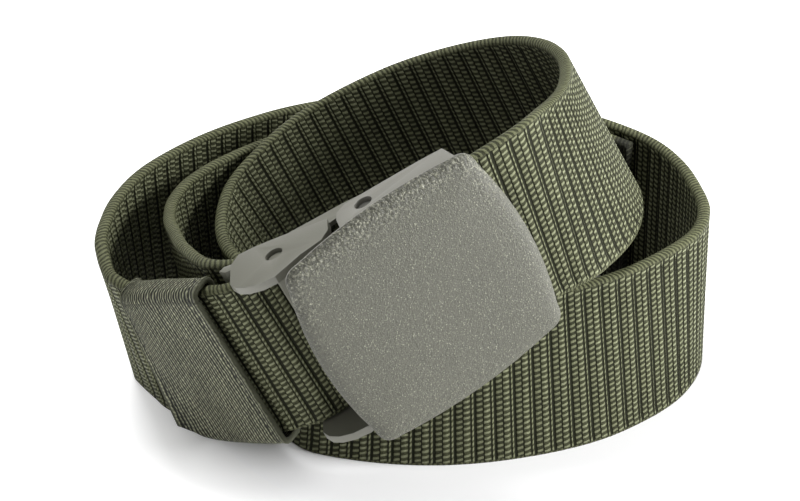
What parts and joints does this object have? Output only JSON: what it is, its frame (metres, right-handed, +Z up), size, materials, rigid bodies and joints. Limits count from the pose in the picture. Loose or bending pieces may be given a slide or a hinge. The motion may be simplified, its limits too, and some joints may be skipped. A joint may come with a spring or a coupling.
{
  "type": "canvas web belt",
  "caption": "Coiled canvas web belt standing on its edge, with a plastic flip buckle and an elastic keeper loop on the web.",
  "frame": {"origin": "middle of the belt's footprint, on the floor it stands on", "axes": "+Z up from the floor along the web's width, -Y the side with the buckle, +X to the right seen from the buckle, along the coil's long side"},
  "size_m": [0.134, 0.119, 0.077],
  "materials": {
    "web": "ribbed woven canvas web, dull",
    "keeper": "fine ribbed elastic tape, dull",
    "buckle_plastic": "moulded, fine grain on the cover's front, smooth on the cheeks",
    "pin_steel": "dark and dull, sunk in the holes"
  },
  "bodies": {
    "root": {"web_strap": "web", "elastic_keeper": "keeper", "buckle_cover": "buckle_plastic", "buckle_base": "buckle_plastic", "end_clamp": "buckle_plastic", "cover_pin_upper": "pin_steel", "cover_pin_lower": "pin_steel"}
  },
  "joints": []
}
